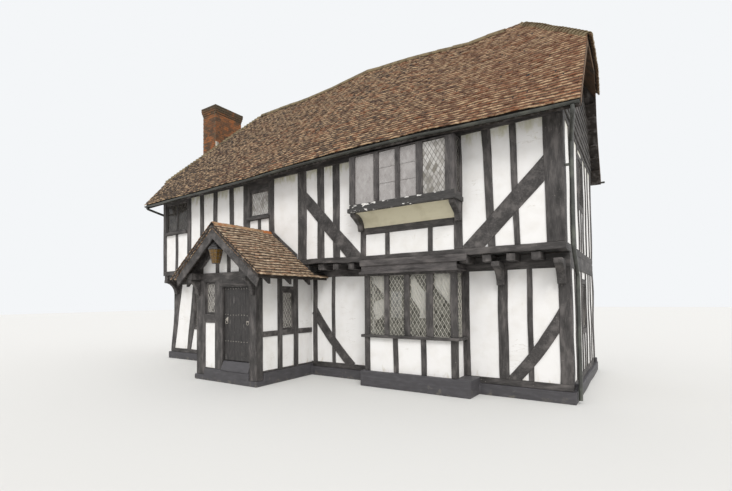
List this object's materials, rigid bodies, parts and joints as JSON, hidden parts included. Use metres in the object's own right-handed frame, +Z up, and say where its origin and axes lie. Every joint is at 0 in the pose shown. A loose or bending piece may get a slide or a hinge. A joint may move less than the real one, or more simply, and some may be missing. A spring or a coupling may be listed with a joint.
{
  "type": "half timbered house",
  "caption": "Hollow two-storey half-timbered house with jettied front, oriel, bay window, gabled porch with an opening door, half-hipped tile roof and end stack",
  "frame": {"origin": "middle of the whole footprint, gutters and porch eaves included, at the lowest ground", "axes": "+X along the front from left to right, +Y into the building, +Z up"},
  "size_m": [13.569, 7.218, 9.47],
  "materials": {
    "black_timber": "weathered black paint on old oak",
    "render": "limewashed render, slightly uneven",
    "tarred_plinth": "masonry rendered and tarred",
    "brick": "weathered red brick in lime mortar",
    "roof_tiles": "hand-made plain clay tiles, mixed reds and browns",
    "porch_tiles": "plain clay tiles with lichen",
    "ridge_clay": "half-round clay ridge tiles",
    "weatherboard": "dark stained boards",
    "floor_boards": "worn oak boards",
    "door_oak": "black painted oak planks with nail heads",
    "old_iron": "forged iron",
    "rain_iron": "black cast iron with green weathering",
    "grey_step": "worn grey paint",
    "leaded_glass": "old leaded glass",
    "amber_glass": "amber glass"
  },
  "bodies": {
    "house": {"bay_cornice": "black_timber", "bay_panels": "render", "bay_posts": "black_timber", "bressumers": "black_timber", "chimney_cap": "brick", "chimney_stack": "brick", "cross_beams": "black_timber", "curved_brackets": "black_timber", "door_frame": "black_timber", "door_pintles": "old_iron", "door_step": "grey_step", "downpipes": "rain_iron", "end_sills": "black_timber", "floor_joists": "black_timber", "gable_boards": "weatherboard", "ground_back_panels": "render", "ground_floor": "floor_boards", "ground_front_panels": "render", "ground_posts": "black_timber", "gutters": "rain_iron", "half_hips": "roof_tiles", "head_beams": "black_timber", "hip_tiles": "ridge_clay", "lantern_body": "amber_glass", "lantern_hood": "old_iron", "oriel_cove": "render", "oriel_frame": "black_timber", "plinth": "tarred_plinth", "porch_boards": "black_timber", "porch_panels": "render", "porch_posts": "black_timber", "porch_roof_left": "porch_tiles", "porch_roof_right": "porch_tiles", "rafters": "black_timber", "ridge_tiles": "ridge_clay", "roof_front": "roof_tiles", "roof_rear": "roof_tiles", "sill_beams": "black_timber", "tie_beams": "black_timber", "upper_back_panels": "render", "upper_floor_boards": "floor_boards", "upper_front_panels": "render", "upper_posts": "black_timber", "wall_braces": "black_timber", "wall_plates": "black_timber", "wall_rails": "black_timber", "wall_studs": "black_timber", "window_frames": "black_timber", "window_glass": "leaded_glass", "window_sills": "black_timber"},
    "front_door": {"door_handles": "old_iron", "door_leaf": "door_oak", "door_ledges": "door_oak", "door_straps": "old_iron"}
  },
  "joints": [
    {"name": "front_door_hinge", "type": "hinge", "parent": "house", "child": "front_door", "pos_m": [-0.066, -3.094, 1.4], "axis": [0, 0, -1], "range_deg": [0, 90]}
  ]
}
